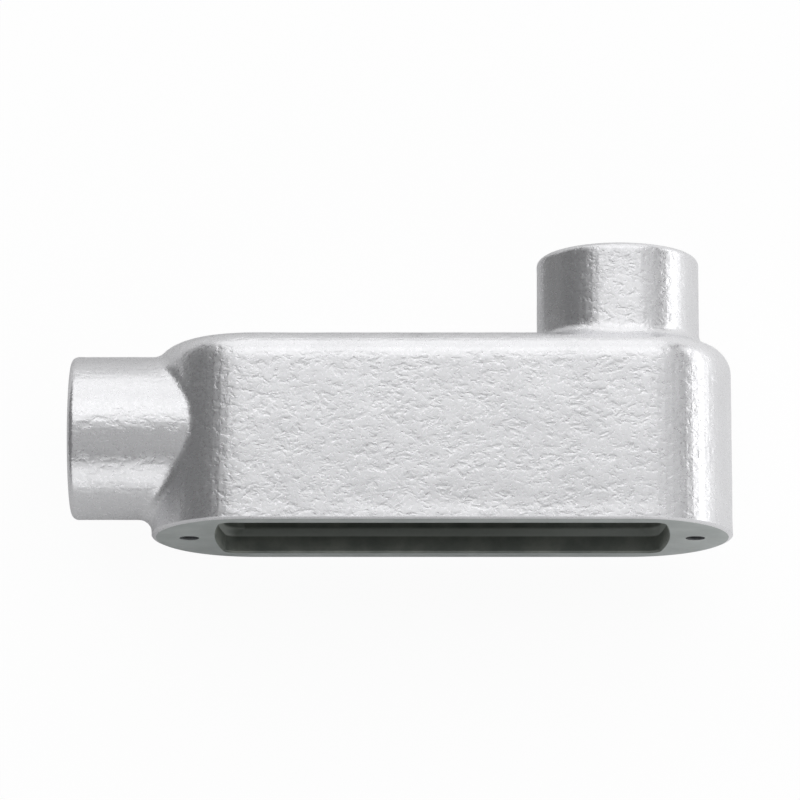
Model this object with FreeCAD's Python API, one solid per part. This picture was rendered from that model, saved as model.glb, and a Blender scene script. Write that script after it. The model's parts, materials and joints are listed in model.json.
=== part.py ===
"""Type LB conduit body: one malleable-iron casting with an end hub, a back hub and an open cover face.

Units are millimetres. The origin is the centre of the cover opening on the ground cover face.
+X runs along the body towards the back-hub end, +Y from the cover face towards the back hub, and
+Z is square to the mid-plane that holds both hub axes. The body lies on its flat -Z side wall.
"""

import FreeCAD, Part
import math
import os

V = FreeCAD.Vector

# Body
BODY_LENGTH = 100.3          # over the rounded ends, along X
BODY_WIDTH = 35.0            # between the flat side walls, along Z
BACK_EDGE_RADIUS = 5.0       # rounding all round the back
COVER_EDGE_BREAK = 0.4       # chamfer left round the ground cover face
WALL = 3.0                   # cast wall

# Hubs, for 1/2 inch trade size conduit
HUB_DIAMETER = 28.3
HUB_RIM_RADIUS = 1.3         # rounding of the outer rim
HUB_BLEND_RADIUS = 2.6       # concave blend where a hub leaves the body
COVER_TO_END_HUB = 3.45      # cover face to the underside of the end hub
END_HUB_TO_BACK = 1.65       # top of the end hub to the outside of the back
END_HUB_PROJECTION = 14.0    # beyond the rounded end
BACK_HUB_PROJECTION = 15.9   # beyond the back
BACK_HUB_FROM_END = 19.6     # axis to the rounded end
BLEND_LAND = 0.3             # flat wall kept between the end-hub blend and the cover face edge

# Bores
TAP_DRILL_DIAMETER = 18.26   # 23/32 inch, for 1/2-14 NPT
MOUTH_CHAMFER = 1.75         # lead-in at the hub face
STOP_WIDTH = 1.23            # how far the conduit stop stands in from the bore
STOP_CHAMFER = 0.6           # inner edge of the stop
END_BUSHING_LENGTH = 4.0     # conduit stop to the chamber side
BACK_BUSHING_LENGTH = 3.9
BUSHING_LIP_RADIUS = 1.2     # rolled lip on the chamber side, for the wires
RING_WIDTH = 3.1             # flat ring round the end-hub throat, inside the chamber
RING_HEIGHT = 2.0            # how far that ring stands out from the end wall

# Cover opening and the lands round it
LAND_WIDTH = 4.5             # cover face beside the opening
LAND_LENGTH = 11.25          # cover face beyond the tip of the opening
OPENING_BOW = 1.3            # how far each end of the opening bows out
OPENING_CORNER_RADIUS = 2.0
OPENING_EDGE_BREAK = 0.35    # chamfer round the opening
LIP_DEPTH = 3.0              # straight wall of the opening
LEDGE_ANGLE = 45.0           # slope from the lip out to the chamber wall, degrees

# Chamber
CHAMBER_BACK_RADIUS = 3.0    # inside rounding along the back
THROAT_TO_LUG = 0.3          # end-hub throat lip to the top of the screw lugs
LUG_FOOT_CHAMFER = 1.5       # slope where a lug meets the chamber end

# Cover screws, number 8-32
SCREW_INSET = 6.5            # hole axis to the rounded end
SCREW_DRILL_DIAMETER = 3.4
SCREW_HOLE_FLOOR = 1.0       # metal left over the drill point
DRILL_POINT_ANGLE = 118.0    # degrees

# Worked out from the sizes above
HALF_LENGTH = BODY_LENGTH / 2
HALF_WIDTH = BODY_WIDTH / 2
HUB_RADIUS = HUB_DIAMETER / 2
BODY_HEIGHT = COVER_TO_END_HUB + HUB_DIAMETER + END_HUB_TO_BACK
END_HUB_AXIS_HEIGHT = COVER_TO_END_HUB + HUB_RADIUS
END_HUB_FACE = -HALF_LENGTH - END_HUB_PROJECTION
BACK_HUB_FACE = BODY_HEIGHT + BACK_HUB_PROJECTION
BACK_HUB_X = HALF_LENGTH - BACK_HUB_FROM_END
END_BLEND_RADIUS = min(HUB_BLEND_RADIUS, COVER_TO_END_HUB - COVER_EDGE_BREAK - BLEND_LAND)
CHAMBER_HALF_WIDTH = HALF_WIDTH - WALL
CHAMBER_HALF_LENGTH = HALF_LENGTH - WALL
CHAMBER_TOP = BODY_HEIGHT - WALL
OPENING_HALF_WIDTH = HALF_WIDTH - LAND_WIDTH
OPENING_HALF_LENGTH = HALF_LENGTH - LAND_LENGTH
BORE_RADIUS = TAP_DRILL_DIAMETER / 2
THROAT_RADIUS = BORE_RADIUS - STOP_WIDTH
THROAT_LIP_RADIUS = THROAT_RADIUS + BUSHING_LIP_RADIUS
RING_RADIUS = THROAT_RADIUS + RING_WIDTH
RING_FACE = -CHAMBER_HALF_LENGTH + RING_HEIGHT
END_BORE_DEPTH = RING_FACE - END_BUSHING_LENGTH - END_HUB_FACE
BACK_BORE_DEPTH = BACK_HUB_FACE - CHAMBER_TOP - BACK_BUSHING_LENGTH
LUG_HEIGHT = END_HUB_AXIS_HEIGHT - THROAT_LIP_RADIUS - THROAT_TO_LUG
SCREW_X = HALF_LENGTH - SCREW_INSET
SCREW_POINT = SCREW_DRILL_DIAMETER / 2 / math.tan(math.radians(DRILL_POINT_ANGLE / 2))
SCREW_HOLE_DEPTH = LUG_HEIGHT - SCREW_HOLE_FLOOR - SCREW_POINT
TO_END_HUB = V(-1, 0, 0)
TO_BACK_HUB = V(0, 1, 0)
NEAR = 1e-3                  # places closer than this are the same place


def plan_face(half_length, corner_x, half_width, y):
    """Flat outline at height y: straight sides, and ends that bow out beyond corner_x."""
    near_left = V(-corner_x, y, half_width)
    near_right = V(corner_x, y, half_width)
    far_left = V(-corner_x, y, -half_width)
    far_right = V(corner_x, y, -half_width)
    edges = [
        Part.makeLine(far_left, far_right),
        Part.Arc(far_right, V(half_length, y, 0), near_right).toShape(),
        Part.makeLine(near_right, near_left),
        Part.Arc(near_left, V(-half_length, y, 0), far_left).toShape(),
    ]
    return Part.Face(Part.Wire(edges))


def oblong(half_length, half_width, bottom, top):
    """Upright solid with full-radius ends."""
    plan = plan_face(half_length, half_length - half_width, half_width, bottom)
    return plan.extrude(V(0, top - bottom, 0))


def bowed_block(half_width, corner_radius, bottom, top):
    """Upright solid as long as the opening, with its bowed ends and rounded corners."""
    plan = plan_face(OPENING_HALF_LENGTH, OPENING_HALF_LENGTH - OPENING_BOW, half_width, bottom)
    block = plan.extrude(V(0, top - bottom, 0))
    return block.makeFillet(corner_radius, upright_edges(block))


def edges_at_height(shape, y):
    """Edges that lie wholly in the plane at height y."""
    return [e for e in shape.Edges if abs(e.BoundBox.YMin - y) < NEAR and e.BoundBox.YLength < NEAR]


def upright_edges(shape):
    """Straight edges that run along Y."""
    return [e for e in shape.Edges if e.BoundBox.XLength < NEAR and e.BoundBox.ZLength < NEAR]


def outline_at_height(shape, y):
    """Boundary of the flat face that lies at height y."""
    level = [f for f in shape.Faces if abs(f.BoundBox.YMin - y) < NEAR and f.BoundBox.YLength < NEAR]
    return level[0].OuterWire


def on_cylinder(edge, point, axis, radius):
    """True if an edge lies on the cylinder about an axis."""
    arms = [sample - point for sample in edge.discretize(7)]
    return all(abs((arm - axis * arm.dot(axis)).Length - radius) < NEAR for arm in arms)


def hub_rod(start, axis, length):
    """Solid hub with its outer rim rounded."""
    rod = Part.makeCylinder(HUB_RADIUS, length, start, axis)
    tip = start + axis * length
    rim = [e for e in rod.Edges if e.isClosed() and abs((e.CenterOfMass - tip).dot(axis)) < NEAR]
    return rod.makeFillet(HUB_RIM_RADIUS, rim)


def outside():
    """The solid outer form: rounded body with both hubs blended on."""
    body = oblong(HALF_LENGTH, HALF_WIDTH, 0, BODY_HEIGHT)
    body = body.makeFillet(BACK_EDGE_RADIUS, edges_at_height(body, BODY_HEIGHT))
    end_start = V(HALF_WIDTH - HALF_LENGTH, END_HUB_AXIS_HEIGHT, 0)
    end_hub = hub_rod(end_start, TO_END_HUB, end_start.x - END_HUB_FACE)
    back_start = V(BACK_HUB_X, BODY_HEIGHT / 2, 0)
    back_hub = hub_rod(back_start, TO_BACK_HUB, BACK_HUB_FACE - back_start.y)
    body = body.fuse([end_hub, back_hub]).removeSplitter()
    end_join = []
    for edge in body.Edges:
        on_body = edge.BoundBox.XMin > -HALF_LENGTH - NEAR
        if on_body and on_cylinder(edge, end_start, TO_END_HUB, HUB_RADIUS):
            end_join.append(edge)
    body = body.makeFillet(END_BLEND_RADIUS, end_join)
    back_join = []
    for edge in body.Edges:
        on_body = edge.BoundBox.YMax < BODY_HEIGHT + NEAR
        if on_body and on_cylinder(edge, back_start, TO_BACK_HUB, HUB_RADIUS):
            back_join.append(edge)
    body = body.makeFillet(HUB_BLEND_RADIUS, back_join)
    return body.makeChamfer(COVER_EDGE_BREAK, edges_at_height(body, 0))


def chamber():
    """The cored room: mouth, sloped ledge, lower room between the lugs and upper room over them."""
    mouth = bowed_block(OPENING_HALF_WIDTH, OPENING_CORNER_RADIUS, 0, LIP_DEPTH)
    ledge_width = CHAMBER_HALF_WIDTH - OPENING_HALF_WIDTH
    ledge_top = LIP_DEPTH + ledge_width / math.tan(math.radians(LEDGE_ANGLE))
    corner_radius = OPENING_CORNER_RADIUS + ledge_width
    low_room = bowed_block(CHAMBER_HALF_WIDTH, corner_radius, ledge_top, LUG_HEIGHT + 2 * LUG_FOOT_CHAMFER)
    ledge_ends = [outline_at_height(mouth, LIP_DEPTH), outline_at_height(low_room, ledge_top)]
    ledge = Part.makeLoft(ledge_ends, True, True)
    high_room = oblong(CHAMBER_HALF_LENGTH, CHAMBER_HALF_WIDTH, LUG_HEIGHT, CHAMBER_TOP)
    high_room = high_room.makeFillet(CHAMBER_BACK_RADIUS, edges_at_height(high_room, CHAMBER_TOP))
    high_room = high_room.makeChamfer(LUG_FOOT_CHAMFER, edges_at_height(high_room, LUG_HEIGHT))
    room = mouth.fuse([ledge, low_room, high_room]).removeSplitter()
    ring_start = V(-HALF_LENGTH, END_HUB_AXIS_HEIGHT, 0)
    ring = Part.makeCylinder(RING_RADIUS, RING_FACE - ring_start.x, ring_start, -TO_END_HUB)
    return room.cut(ring)


def hub_bore(face_centre, inward, bore_depth, throat_length):
    """Lead-in chamfer, tap-drill bore, conduit stop and rounded throat, as one turned cutter."""
    mouth = BORE_RADIUS + MOUTH_CHAMFER
    exit_depth = bore_depth + throat_length
    clear = exit_depth + THROAT_RADIUS
    stop = THROAT_RADIUS + STOP_CHAMFER
    lip_start = V(THROAT_RADIUS, 0, exit_depth - BUSHING_LIP_RADIUS)
    lip_end = V(THROAT_LIP_RADIUS, 0, exit_depth)
    bend = BUSHING_LIP_RADIUS * math.sqrt(0.5)
    lip_middle = V(lip_end.x - bend, 0, lip_start.z + bend)
    straight = [
        lip_end,
        V(THROAT_LIP_RADIUS, 0, clear),
        V(0, 0, clear),
        V(0, 0, -mouth),
        V(mouth + MOUTH_CHAMFER, 0, -MOUTH_CHAMFER),
        V(BORE_RADIUS, 0, MOUTH_CHAMFER),
        V(BORE_RADIUS, 0, bore_depth),
        V(stop, 0, bore_depth),
        V(THROAT_RADIUS, 0, bore_depth + STOP_CHAMFER),
        lip_start,
    ]
    lip = Part.Arc(lip_start, lip_middle, lip_end).toBSpline().toShape()
    profile = Part.Wire(Part.makePolygon(straight).Edges + [lip])
    cutter = Part.Face(profile).revolve(V(0, 0, 0), V(0, 0, 1), 360)
    cutter.Placement = FreeCAD.Placement(face_centre, FreeCAD.Rotation(V(0, 0, 1), inward))
    return cutter


def screw_hole(x):
    """Blind tapped hole for a cover screw, with its drill point."""
    radius = SCREW_DRILL_DIAMETER / 2
    drill = Part.makeCylinder(radius, SCREW_HOLE_DEPTH + radius, V(x, -radius, 0), V(0, 1, 0))
    point = Part.makeCone(radius, 0, SCREW_POINT, V(x, SCREW_HOLE_DEPTH, 0), V(0, 1, 0))
    return drill.fuse(point)


def opening_edges(shape):
    """Edges of the cover opening on the cover face."""
    reach = OPENING_HALF_LENGTH + NEAR
    return [e for e in edges_at_height(shape, 0) if e.BoundBox.XMax < reach and e.BoundBox.XMin > -reach]


def conduit_body():
    """The whole casting after it is drilled and ground."""
    end_face = V(END_HUB_FACE, END_HUB_AXIS_HEIGHT, 0)
    back_face = V(BACK_HUB_X, BACK_HUB_FACE, 0)
    cutters = [
        chamber(),
        hub_bore(end_face, -TO_END_HUB, END_BORE_DEPTH, END_BUSHING_LENGTH),
        hub_bore(back_face, -TO_BACK_HUB, BACK_BORE_DEPTH, BACK_BUSHING_LENGTH),
        screw_hole(-SCREW_X),
        screw_hole(SCREW_X),
    ]
    casting = outside().cut(cutters)
    return casting.makeChamfer(OPENING_EDGE_BREAK, opening_edges(casting))


os.makedirs("parts", exist_ok=True)
conduit_body().exportStep("parts/conduit_body.step")
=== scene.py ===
"""Looks of the type LB conduit body: one sand-cast iron piece under aluminium paint, with its cut threads.

Everything is in metres, in the CAD frame: +X towards the back-hub end, +Y towards the back hub, and
+Z up, away from the floor that the body lies on.
"""

import heapq
import json
import math
from collections import namedtuple
from functools import cached_property

import bmesh
import bpy
from mathutils import Euler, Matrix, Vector, noise


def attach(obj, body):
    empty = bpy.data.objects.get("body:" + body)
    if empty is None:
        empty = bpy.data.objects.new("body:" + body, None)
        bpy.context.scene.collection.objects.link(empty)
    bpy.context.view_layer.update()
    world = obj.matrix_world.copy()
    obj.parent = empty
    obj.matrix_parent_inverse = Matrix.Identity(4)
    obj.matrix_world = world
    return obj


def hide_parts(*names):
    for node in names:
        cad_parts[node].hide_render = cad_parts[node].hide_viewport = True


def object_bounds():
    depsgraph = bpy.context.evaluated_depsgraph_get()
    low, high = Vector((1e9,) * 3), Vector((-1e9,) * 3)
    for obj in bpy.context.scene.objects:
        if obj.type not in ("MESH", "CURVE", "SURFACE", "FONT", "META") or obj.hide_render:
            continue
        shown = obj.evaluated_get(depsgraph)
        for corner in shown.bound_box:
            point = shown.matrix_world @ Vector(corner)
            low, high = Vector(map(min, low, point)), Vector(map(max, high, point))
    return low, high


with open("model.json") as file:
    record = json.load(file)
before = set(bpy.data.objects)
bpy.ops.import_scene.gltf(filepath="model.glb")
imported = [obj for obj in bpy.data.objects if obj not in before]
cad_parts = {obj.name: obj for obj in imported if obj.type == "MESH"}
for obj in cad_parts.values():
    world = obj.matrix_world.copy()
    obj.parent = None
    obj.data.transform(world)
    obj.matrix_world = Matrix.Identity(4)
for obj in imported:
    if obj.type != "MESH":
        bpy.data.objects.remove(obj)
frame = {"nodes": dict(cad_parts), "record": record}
CAD_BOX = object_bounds()

MM = 0.001
INCH = 25.4 * MM
NODE = "conduit_body"
MOUNTS = {mount["name"]: mount for mount in frame["record"]["mounts"]}

# Places taken from the frame
END_FACE_X = CAD_BOX[0].x                      # outer face of the end hub
BACK_FACE_Y = CAD_BOX[1].y                     # outer face of the back hub
BODY_END_X = CAD_BOX[1].x                      # tip of the body's right end; the left one mirrors it
HALF_WIDTH = CAD_BOX[1].z
FLOOR_Z = CAD_BOX[0].z
END_AXIS_Y = MOUNTS["end_hub"]["pos_m"][1]
BACK_AXIS_X = MOUNTS["back_hub"]["pos_m"][0]
BORE_RADIUS = MOUNTS["end_hub"]["dims"]["r_mm"] * MM
SCREW_X = MOUNTS["cover_screws"]["dims"]["spacing_x_mm"] * MM / 2
SCREW_DRILL_RADIUS = MOUNTS["cover_screws"]["dims"]["hole_r_mm"] * MM

# Sizes of the casting that the looks need
BODY_HEIGHT = 33.4 * MM
ROUND_END_X = BODY_END_X - HALF_WIDTH          # centre of the rounded end
COVER_EDGE_BREAK = 0.4 * MM                    # height of the broken edge round the ground face
LEDGE_START = 3.0 * MM                         # depth at which the ledge inside the opening starts
LEDGE_END = 4.5 * MM

# Materials, by slot
PAINT, GROUND, CORED, CUT = range(4)

# Zones that tell one finish from another
SKIN = 2.2 * MM                                # less than the cast wall: parts inner faces from outer ones
COVER_EDGE = COVER_EDGE_BREAK + 0.05 * MM      # the ground face and its broken edge lie below this height
HUB_ZONE = 14.5 * MM                           # just over a hub's outer radius
MOUTH_ZONE = 11.1 * MM                         # just over the radius of a hub's bevelled mouth
SCREW_ZONE = SCREW_DRILL_RADIUS * 1.05
SCREW_ZONE_DEPTH = 9 * MM                      # just over the depth of a screw hole with its drill point
SQUARE = 0.99                                  # a face whose normal lies this near an axis is square to it

# Surface detail of the casting
SPLIT_LENGTH = 1.2 * MM                        # longest edge left on the outer skin
WAVE_DEPTH = 0.11 * MM                         # unevenness of the cast skin
WAVES = ((7.0 * MM, 0.65), (2.6 * MM, 0.35))   # size of each wave and its share
WAVE_SEED = Vector((31, 17, 5))                # place in the noise that the waves start from
FADE = 2.5 * MM                                # the unevenness fades out this near a cut face
SHARP_ANGLE = math.radians(24)
CAD_MERGE = 0.001 * MM                         # vertices this near are one, in the CAD mesh
CUT_MERGE = 0.0005 * MM                        # and after the threads are cut


# Threads -------------------------------------------------------------------------------------------

ROOT_FLAT = 0.025                              # half the flat at a thread's root, in pitches
FLANK = (0.5 - ROOT_FLAT) / math.tan(math.radians(30))  # depth of a sharp 60 degree thread, in pitches
PROFILE = (0.0, 0.5 - ROOT_FLAT, 0.5 + ROOT_FLAT)  # crest and both ends of the root flat, in pitches

# root: radius of the root at the face. taper: radius lost for each metre of depth. idle: radius at which the
# cutter takes nothing off. The thread grows to full size over fade_in, is full to full_end and gone at end.
# The cutter itself reaches from start to stop and has this many steps in a turn.
Thread = namedtuple("Thread", "pitch root taper idle fade_in full_end end start stop steps")

HUB_THREAD = Thread(                           # 1/2-14 taper pipe thread
    pitch=INCH / 14,
    root=10.61 * MM,
    taper=1 / 32,
    idle=BORE_RADIUS - 0.15 * MM,
    fade_in=0,
    full_end=11.0 * MM,
    end=13.2 * MM,
    start=-1.2 * MM,
    stop=12.6 * MM,
    steps=96,
)
SCREW_THREAD = Thread(                         # number 8-32, its first turn rounded over at the ground face
    pitch=INCH / 32,
    root=2.08 * MM,
    taper=0,
    idle=SCREW_DRILL_RADIUS - 0.1 * MM,
    fade_in=0.6 * MM,
    full_end=4.6 * MM,
    end=5.4 * MM,
    start=-0.8 * MM,
    stop=4.8 * MM,
    steps=48,
)


def thread_radius(thread, offset, depth):
    """Radius of a thread's cutter at a depth, for an offset of the profile."""
    root = thread.root - thread.taper * depth
    radius = root if offset else root - FLANK * thread.pitch
    grow = min(1.0, max(0.0, depth / thread.fade_in)) if thread.fade_in else 1.0
    fall = min(1.0, max(0.0, (thread.end - depth) / (thread.end - thread.full_end)))
    limit = thread.idle + (root - thread.idle) * min(grow, fall)
    return min(radius, limit)


def thread_cutter(name, thread, face_centre, inward):
    """Closed helical solid that cuts a thread into the hole behind a face."""
    lead = len(PROFILE)
    rows = int((thread.stop - thread.start) / thread.pitch) * lead
    side = inward.orthogonal().normalized()
    other = inward.cross(side)
    bm = bmesh.new()
    grid = []
    for i in range(thread.steps):
        turn = i / thread.steps
        out = side * math.cos(2 * math.pi * turn) + other * math.sin(2 * math.pi * turn)
        column = []
        for j in range(rows + 1):
            offset = PROFILE[j % lead]
            depth = thread.start + thread.pitch * (j // lead + offset + turn)
            radius = thread_radius(thread, offset, depth)
            column.append(bm.verts.new(face_centre + inward * depth + out * radius))
        grid.append(column)
    for this, following in zip(grid, grid[1:]):
        for j in range(rows):
            bm.faces.new((this[j], following[j], following[j + 1], this[j + 1]))
    # A full turn on, the first column is met one pitch further in
    for j in range(rows - lead):
        bm.faces.new((grid[-1][j], grid[0][j + lead], grid[0][j + lead + 1], grid[-1][j + 1]))
    # Each end is a fan round a point on the axis; its rim takes in the step where the turn starts
    near_rim = [column[0] for column in grid] + grid[0][lead:0:-1]
    far_rim = [column[-1] for column in grid] + grid[-1][rows - 1:rows - lead - 1:-1]
    for rim, depth in ((near_rim, thread.start), (far_rim, thread.stop + thread.pitch)):
        hub = bm.verts.new(face_centre + inward * depth)
        for a, b in zip(rim, rim[1:] + rim[:1]):
            bm.faces.new((hub, a, b))
    bmesh.ops.recalc_face_normals(bm, faces=bm.faces)
    for face in bm.faces:
        face.material_index = CUT
    mesh = bpy.data.meshes.new(name)
    bm.to_mesh(mesh)
    bm.free()
    return bpy.data.objects.new(name, mesh)


# The casting ---------------------------------------------------------------------------------------

def finish_of(face):
    """Which material a face of the plain casting takes."""
    c = face.calc_center_median()
    n = face.normal
    past_round_end = max(0.0, abs(c.x) - ROUND_END_X)
    side_depth = HALF_WIDTH - math.hypot(past_round_end, c.z)
    from_end_axis = math.hypot(c.y - END_AXIS_Y, c.z)
    from_back_axis = math.hypot(c.x - BACK_AXIS_X, c.z)
    from_screw_axis = math.hypot(abs(c.x) - SCREW_X, c.z)
    in_end_hub = c.x < -BODY_END_X + SKIN
    in_back_hub = c.y > BODY_HEIGHT - SKIN and from_back_axis < HUB_ZONE
    if c.y < COVER_EDGE and n.y < -SQUARE:
        return GROUND
    if from_screw_axis < SCREW_ZONE and c.y < SCREW_ZONE_DEPTH:
        return CUT
    if in_end_hub and from_end_axis < MOUTH_ZONE and n.x > -SQUARE:
        return CUT
    if in_back_hub and from_back_axis < MOUTH_ZONE and n.y < SQUARE:
        return CUT
    if in_end_hub or in_back_hub or side_depth < SKIN or c.y > BODY_HEIGHT - SKIN:
        return PAINT
    return CORED


def plain_casting():
    """The CAD casting as one closed mesh, its faces sorted by finish."""
    bm = bmesh.new()
    bm.from_mesh(frame["nodes"][NODE].data)
    bmesh.ops.remove_doubles(bm, verts=bm.verts, dist=CAD_MERGE)
    for face in bm.faces:
        face.material_index = finish_of(face)
    return bm


def cut_threads(casting):
    """Takes the four threads out of the casting."""
    along, across = Vector((1, 0, 0)), Vector((0, 1, 0))
    cutters = [
        thread_cutter("end_hub_thread", HUB_THREAD, Vector((END_FACE_X, END_AXIS_Y, 0)), along),
        thread_cutter("back_hub_thread", HUB_THREAD, Vector((BACK_AXIS_X, BACK_FACE_Y, 0)), -across),
        thread_cutter("left_screw_thread", SCREW_THREAD, Vector((-SCREW_X, 0, 0)), across),
        thread_cutter("right_screw_thread", SCREW_THREAD, Vector((SCREW_X, 0, 0)), across),
    ]
    for cutter in cutters:
        for material in casting.data.materials:
            cutter.data.materials.append(material)
        bpy.context.scene.collection.objects.link(cutter)
        cut = casting.modifiers.new(cutter.name, "BOOLEAN")
        cut.operation = "DIFFERENCE"
        cut.solver = "MANIFOLD"
        cut.object = cutter
    bpy.context.view_layer.update()
    depsgraph = bpy.context.evaluated_depsgraph_get()
    cut_mesh = bpy.data.meshes.new_from_object(casting.evaluated_get(depsgraph))
    casting.modifiers.clear()
    casting.data = cut_mesh
    for cutter in cutters:
        bpy.data.objects.remove(cutter)


def split_skin(bm):
    """Halves the longest edge of the painted skin until none is long, so that it can carry unevenness."""
    def wanted(edge):
        return edge.calc_length() > SPLIT_LENGTH and any(f.material_index == PAINT for f in edge.link_faces)

    waiting = [(-edge.calc_length(), number, edge) for number, edge in enumerate(bm.edges) if wanted(edge)]
    heapq.heapify(waiting)
    number = len(bm.edges)
    while waiting:
        edge = heapq.heappop(waiting)[2]
        middle = bmesh.utils.edge_split(edge, edge.verts[0], 0.5)[1]
        for face in list(middle.link_faces):
            corner = next(loop for loop in face.loops if loop.vert == middle)
            bmesh.utils.face_split(face, middle, corner.link_loop_next.link_loop_next.vert)
        for part in middle.link_edges:
            if wanted(part):
                number += 1
                heapq.heappush(waiting, (-part.calc_length(), number, part))


def ramp(distance):
    """0 at a cut face, rising smoothly to 1 over FADE."""
    t = min(1.0, max(0.0, distance / FADE))
    return t * t * (3 - 2 * t)


def roughen(bm):
    """Sinks the painted skin by a little smooth unevenness, never out past the CAD surface."""
    moves = []
    for vert in bm.verts:
        if any(face.material_index != PAINT for face in vert.link_faces):
            continue
        p = vert.co
        weight = ramp(p.y - COVER_EDGE) * ramp(p.x - END_FACE_X) * ramp(BACK_FACE_Y - p.y)
        height = sum(share * noise.noise(p / size + WAVE_SEED) for size, share in WAVES)
        moves.append((vert, vert.normal * (-weight * WAVE_DEPTH * (0.5 + 0.5 * height))))
    for vert, move in moves:
        vert.co += move


def mark_sharp_edges(mesh):
    """Keeps the shading apart at every crease, and at the top of the broken edge round the ground face."""
    mesh.set_sharp_from_angle(angle=SHARP_ANGLE)
    for edge in mesh.edges:
        heights = [mesh.vertices[i].co.y for i in edge.vertices]
        if all(abs(height - COVER_EDGE_BREAK) < 0.01 * MM for height in heights):
            edge.use_edge_sharp = True


def casting_piece(materials):
    """The finished casting, which stands for the CAD node."""
    mesh = bpy.data.meshes.new("lb_casting")
    bm = plain_casting()
    bm.to_mesh(mesh)
    bm.free()
    casting = bpy.data.objects.new("lb_casting", mesh)
    bpy.context.scene.collection.objects.link(casting)
    for material in materials:
        mesh.materials.append(material)
    cut_threads(casting)
    bm = bmesh.new()
    bm.from_mesh(casting.data)
    bmesh.ops.triangulate(bm, faces=bm.faces)
    bmesh.ops.remove_doubles(bm, verts=bm.verts, dist=CUT_MERGE)
    split_skin(bm)
    bm.normal_update()
    roughen(bm)
    for face in bm.faces:
        face.smooth = True
    bm.to_mesh(casting.data)
    bm.free()
    mark_sharp_edges(casting.data)
    casting.data.name = "lb_casting"
    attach(casting, "root")
    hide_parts(NODE)
    return casting


# Materials -----------------------------------------------------------------------------------------

PAINT_DULL, PAINT_BRIGHT = (0.77, 0.77, 0.785), (0.81, 0.81, 0.825)
# Cover face colours: partly the ground face's own tone, partly painted shade that darkens it
GROUND_TONE_AND_SHADE_DARK, GROUND_TONE_AND_SHADE_LIGHT = (0.40, 0.43, 0.42), (0.48, 0.51, 0.50)
IRON_DARK, IRON_LIGHT = (0.14, 0.155, 0.14), (0.22, 0.235, 0.21)
# Lighter colour for the ledge inside the opening: painted light standing in for a lit band there
LEDGE_PAINTED_LIGHT = (0.56, 0.59, 0.56)
CUT_DARK, CUT_LIGHT = (0.36, 0.37, 0.38), (0.50, 0.51, 0.52)


class Nodes:
    """Short way to add and join shader nodes in one material."""

    def __init__(self, name):
        self.material = bpy.data.materials.new(name)
        self.material.use_nodes = True
        self.tree = self.material.node_tree
        self.shader = self.tree.nodes["Principled BSDF"]
        self.surface = self.tree.nodes["Material Output"].inputs["Surface"]

    @cached_property
    def place(self):
        """Place on the object, in metres."""
        return self.add("ShaderNodeTexCoord").outputs["Object"]

    @cached_property
    def places(self):
        """The same place as separate X, Y and Z."""
        split = self.add("ShaderNodeSeparateXYZ")
        self.join(self.place, split.inputs["Vector"])
        return split.outputs

    def add(self, kind, **settings):
        """New node. A setting is one of the node's own, or else the value of its input of that name."""
        node = self.tree.nodes.new(kind)
        for key, value in settings.items():
            if hasattr(node, key):
                setattr(node, key, value)
            else:
                node.inputs[key].default_value = value
        return node

    def join(self, source, target):
        self.tree.links.new(source, target)

    def noise(self, size, detail=2.0, roughness=0.5, distortion=0.0, stretch=None):
        """Noise whose lumps are about size metres across."""
        node = self.add("ShaderNodeTexNoise", Scale=1 / size, Detail=detail, Roughness=roughness,
                        Distortion=distortion)
        place = self.place
        if stretch:
            scaled = self.add("ShaderNodeMapping", Scale=stretch)
            self.join(self.place, scaled.inputs["Vector"])
            place = scaled.outputs["Vector"]
        self.join(place, node.inputs["Vector"])
        return node.outputs["Fac"]

    def remap(self, value, low, high, to_low=0.0, to_high=1.0):
        """Value eased from the range low..high to the range to_low..to_high."""
        node = self.add("ShaderNodeMapRange", interpolation_type="SMOOTHSTEP")
        for key, number in (("From Min", low), ("From Max", high), ("To Min", to_low), ("To Max", to_high)):
            node.inputs[key].default_value = number
        self.join(value, node.inputs["Value"])
        return node.outputs["Result"]

    def calc(self, operation, a, b):
        """Result of a sum on two values, each a number or a node's output."""
        node = self.add("ShaderNodeMath", operation=operation)
        for socket, value in zip(node.inputs, (a, b)):
            if isinstance(value, (int, float)):
                socket.default_value = value
            else:
                self.join(value, socket)
        return node.outputs["Value"]

    def mix(self, factor, a, b):
        """Colour between two colours."""
        node = self.add("ShaderNodeMix", data_type="RGBA")
        for index, value in ((6, a), (7, b)):
            if isinstance(value, tuple):
                node.inputs[index].default_value = (*value, 1)
            else:
                self.join(value, node.inputs[index])
        self.join(factor, node.inputs[0])
        return node.outputs[2]

    def bump(self, height, depth):
        node = self.add("ShaderNodeBump", Distance=depth, Strength=1.0)
        self.join(height, node.inputs["Height"])
        return node.outputs["Normal"]

    def finish(self, colour, roughness, metallic, normal):
        """Puts a surface's look on the shader and gives the material."""
        self.join(colour, self.shader.inputs["Base Color"])
        self.join(roughness, self.shader.inputs["Roughness"])
        self.join(normal, self.shader.inputs["Normal"])
        self.shader.inputs["Metallic"].default_value = metallic
        return self.material


def cast_paint():
    """Aluminium paint over sand-cast iron: a close grain of shallow lumps between finer creases."""
    n = Nodes("aluminium_paint_on_casting")
    lumps = n.noise(1.5 * MM, detail=3.0, roughness=0.6, distortion=0.4, stretch=(0.85, 1.15, 1.0))
    fine = n.noise(0.5 * MM, detail=2.0, roughness=0.6)
    patch = n.noise(9 * MM, detail=2.0)
    height = n.calc("ADD", n.calc("MULTIPLY", n.remap(lumps, 0.28, 0.55), 0.7), n.calc("MULTIPLY", fine, 0.3))
    return n.finish(
        colour=n.mix(n.remap(patch, 0.3, 0.7), PAINT_DULL, PAINT_BRIGHT),
        roughness=n.remap(fine, 0.3, 0.7, 0.26, 0.36),
        metallic=0.85,
        normal=n.bump(height, 0.051 * MM),
    )


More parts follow.
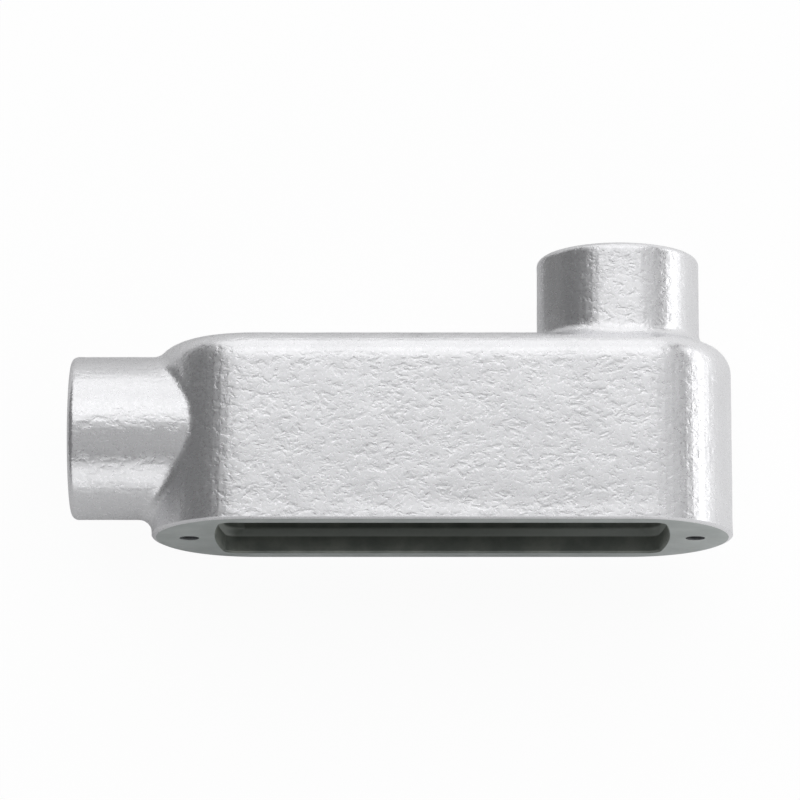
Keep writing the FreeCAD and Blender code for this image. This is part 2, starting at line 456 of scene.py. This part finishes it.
def ground_face():
    """Cover face ground flat, then painted thinly: dull, with faint grinding lines. Its colour is darker than
    the painted skin, partly its own tone and partly painted shade for a face turned away from the lamps.
    """
    n = Nodes("ground_cover_face")
    lines = n.noise(0.5 * MM, detail=3.0, stretch=(0.12, 1.0, 3.0))
    patch = n.noise(6 * MM, detail=3.0)
    return n.finish(
        # This colour carries painted shade as well as the ground face's own tone
        colour=n.mix(n.remap(patch, 0.3, 0.7), GROUND_TONE_AND_SHADE_DARK, GROUND_TONE_AND_SHADE_LIGHT),
        roughness=n.remap(lines, 0.3, 0.7, 0.42, 0.55),
        metallic=0.5,
        normal=n.bump(lines, 0.006 * MM),
    )


def cored_iron():
    """Inside of the casting: dark, rough core surface, with a lighter band of painted light on the ledge
    round the opening.
    """
    n = Nodes("cored_inside")
    sand = n.noise(0.7 * MM, detail=4.0, roughness=0.65)
    patch = n.noise(5 * MM, detail=3.0)
    depth = n.places["Y"]
    # Mask of the ledge band, which takes the lighter colour of painted light
    past_lip = n.remap(depth, LEDGE_START - 0.2 * MM, LEDGE_START + 0.1 * MM)
    before_chamber = n.remap(depth, LEDGE_END + 0.5 * MM, LEDGE_END - 0.1 * MM)
    bare = n.mix(n.remap(patch, 0.3, 0.7), IRON_DARK, IRON_LIGHT)
    return n.finish(
        # The ledge band is coloured lighter here: painted light
        colour=n.mix(n.calc("MULTIPLY", past_lip, before_chamber), bare, LEDGE_PAINTED_LIGHT),
        roughness=n.remap(sand, 0.3, 0.7, 0.5, 0.7),
        metallic=0.3,
        normal=n.bump(sand, 0.06 * MM),
    )


def cut_iron():
    """Turned and tapped metal: thin paint mist, fine tool lines."""
    n = Nodes("cut_thread")
    marks = n.noise(0.25 * MM, detail=3.0, roughness=0.6)
    return n.finish(
        colour=n.mix(n.remap(marks, 0.3, 0.7), CUT_DARK, CUT_LIGHT),
        roughness=n.remap(marks, 0.3, 0.7, 0.28, 0.42),
        metallic=0.85,
        normal=n.bump(marks, 0.01 * MM),
    )


# Stage ---------------------------------------------------------------------------------------------

STAGE_CENTRE = Vector((0, 0.02, 0))            # middle of the body, which the lamps and the camera face

FLOOR_RADIUS = 3.0
FLOOR_TONE = (0.8, 0.8, 0.8, 1)
FLOOR_GLOW = 1.04                              # white that the camera sees in place of most of the floor
CAMERA_SHARE = 0.9                             # how much of the glow it sees; the rest keeps the shadow
ROOM_LIGHT = (0.12, 0.12, 0.122, 1)
BACKDROP = (0.96, 0.96, 0.96, 1)

# White cards on the floor, for reflections only: where each starts and is full, and its share of white
RIGHT_CARD = (0.01, 0.07, 0.02, 0.55)
BACK_CARD = (0.05, 0.10, 0.0, 0.25)

# Standing card to the left of the back hub, for reflections only
CARD_NEAR = BODY_HEIGHT + 7 * MM
CARD_FAR = BACK_FACE_Y + 14 * MM
CARD_TOP = 12 * MM
CARD_SIDES = (("dim", -6 * MM, 0.19), ("pale", -6.3 * MM, 0.5))  # name, place and glow of each side

# Soft lamps. Angles are in degrees, seen from the body: bearing from +Z towards +X, bearing from +Z
# towards +Y, half the width and half the height.
Lamp = namedtuple("Lamp", "name to_right to_back half_width half_height radiance")
LAMP_DISTANCE = 1.2
LAMPS = (
    Lamp("high", 0, 30, 32, 20, 1.24),
    Lamp("back", 0, 70, 32, 18, 1.13),
    Lamp("camera_side", 0, -16, 30, 18, 0.34),
    Lamp("near", 0, -66, 40, 20, 1.03),
    Lamp("right", 45, 8, 12, 38, 0.55),
    Lamp("far_right", 88, 8, 12, 38, 2.1),
    Lamp("mid_right", 67, 8, 9, 38, 0.1),
)

CAMERA_TIP = math.radians(12.616)              # from straight above, towards the cover face
CAMERA_DISTANCE = 0.9
CAMERA_LENS = 233.6
CAMERA_SHIFT = (-0.0529, 0.0313)


def make_floor():
    """Pale floor that keeps the shadow, that the camera sees as near white and reflections as white cards."""
    n = Nodes("pale_floor")
    n.tree.nodes.remove(n.shader)
    diffuse = n.add("ShaderNodeBsdfDiffuse", Color=FLOOR_TONE)
    glow = n.add("ShaderNodeEmission", Strength=FLOOR_GLOW)
    path = n.add("ShaderNodeLightPath")
    cards = n.calc("ADD", n.remap(n.places["X"], *RIGHT_CARD), n.remap(n.places["Y"], *BACK_CARD))
    reflected = n.calc("MULTIPLY", cards, path.outputs["Is Glossy Ray"])
    seen = n.calc("MULTIPLY", path.outputs["Is Camera Ray"], CAMERA_SHARE)
    mix = n.add("ShaderNodeMixShader")
    n.join(n.calc("ADD", seen, reflected), mix.inputs["Fac"])
    n.join(diffuse.outputs[0], mix.inputs[1])
    n.join(glow.outputs[0], mix.inputs[2])
    n.join(mix.outputs[0], n.surface)
    centre = (0, 0, FLOOR_Z)
    bpy.ops.mesh.primitive_circle_add(vertices=96, radius=FLOOR_RADIUS, fill_type="NGON", location=centre)
    floor = bpy.context.object
    floor.name = "floor"
    floor.data.materials.append(n.material)


def glow_material(name, strength):
    """Material that gives off even white light."""
    n = Nodes(name)
    n.tree.nodes.remove(n.shader)
    n.join(n.add("ShaderNodeEmission", Strength=strength).outputs[0], n.surface)
    return n.material


def make_card():
    """Card beside the back hub. Its dim side hides the pale floor from the hub, its pale side matches it."""
    for side, x, strength in CARD_SIDES:
        name = side + "_card"
        near_side = [(x, CARD_NEAR, FLOOR_Z), (x, CARD_FAR, FLOOR_Z)]
        top_side = [(x, CARD_FAR, CARD_TOP), (x, CARD_NEAR, CARD_TOP)]
        mesh = bpy.data.meshes.new(name)
        mesh.from_pydata(near_side + top_side, [], [(0, 1, 2, 3)])
        mesh.materials.append(glow_material(name, strength))
        card = bpy.data.objects.new(name, mesh)
        bpy.context.scene.collection.objects.link(card)
        card.visible_camera = False
        card.visible_diffuse = False
        card.visible_shadow = False
        card.visible_transmission = False


def make_world():
    """Even grey room for the light, white for the camera."""
    world = bpy.data.worlds.new("studio")
    bpy.context.scene.world = world
    world.use_nodes = True
    tree = world.node_tree
    room = tree.nodes["Background"]
    room.inputs["Color"].default_value = ROOM_LIGHT
    white = tree.nodes.new("ShaderNodeBackground")
    white.inputs["Color"].default_value = BACKDROP
    path = tree.nodes.new("ShaderNodeLightPath")
    mix = tree.nodes.new("ShaderNodeMixShader")
    tree.links.new(path.outputs["Is Camera Ray"], mix.inputs["Fac"])
    tree.links.new(room.outputs[0], mix.inputs[1])
    tree.links.new(white.outputs[0], mix.inputs[2])
    tree.links.new(mix.outputs[0], tree.nodes["World Output"].inputs["Surface"])


def make_lamps():
    """Rectangles of soft light, turned to face the body."""
    for lamp in LAMPS:
        data = bpy.data.lights.new(lamp.name, "AREA")
        data.shape = "RECTANGLE"
        data.size = 2 * LAMP_DISTANCE * math.tan(math.radians(lamp.half_width))
        data.size_y = 2 * LAMP_DISTANCE * math.tan(math.radians(lamp.half_height))
        data.energy = lamp.radiance * math.pi * data.size * data.size_y
        light = bpy.data.objects.new(lamp.name, data)
        turn = Euler((-math.radians(lamp.to_back), math.radians(lamp.to_right), 0)).to_quaternion()
        light.location = STAGE_CENTRE + turn @ Vector((0, 0, LAMP_DISTANCE))
        light.rotation_mode = "QUATERNION"
        light.rotation_quaternion = turn
        light.visible_camera = False
        bpy.context.scene.collection.objects.link(light)


def make_camera():
    """Camera above the body, tipped a little towards its cover face."""
    data = bpy.data.cameras.new("camera")
    camera = bpy.data.objects.new("camera", data)
    bpy.context.scene.collection.objects.link(camera)
    back = Vector((0, -math.sin(CAMERA_TIP), math.cos(CAMERA_TIP)))
    camera.location = STAGE_CENTRE + back * CAMERA_DISTANCE
    camera.rotation_mode = "QUATERNION"
    camera.rotation_quaternion = back.to_track_quat("Z", "Y")
    data.sensor_width = 36
    data.lens = CAMERA_LENS
    data.shift_x, data.shift_y = CAMERA_SHIFT
    data.clip_start = 0.01
    data.clip_end = 20
    bpy.context.scene.camera = camera


bpy.context.scene.view_settings.view_transform = "Standard"
casting_piece([cast_paint(), ground_face(), cored_iron(), cut_iron()])
make_floor()
make_card()
make_world()
make_lamps()
make_camera()
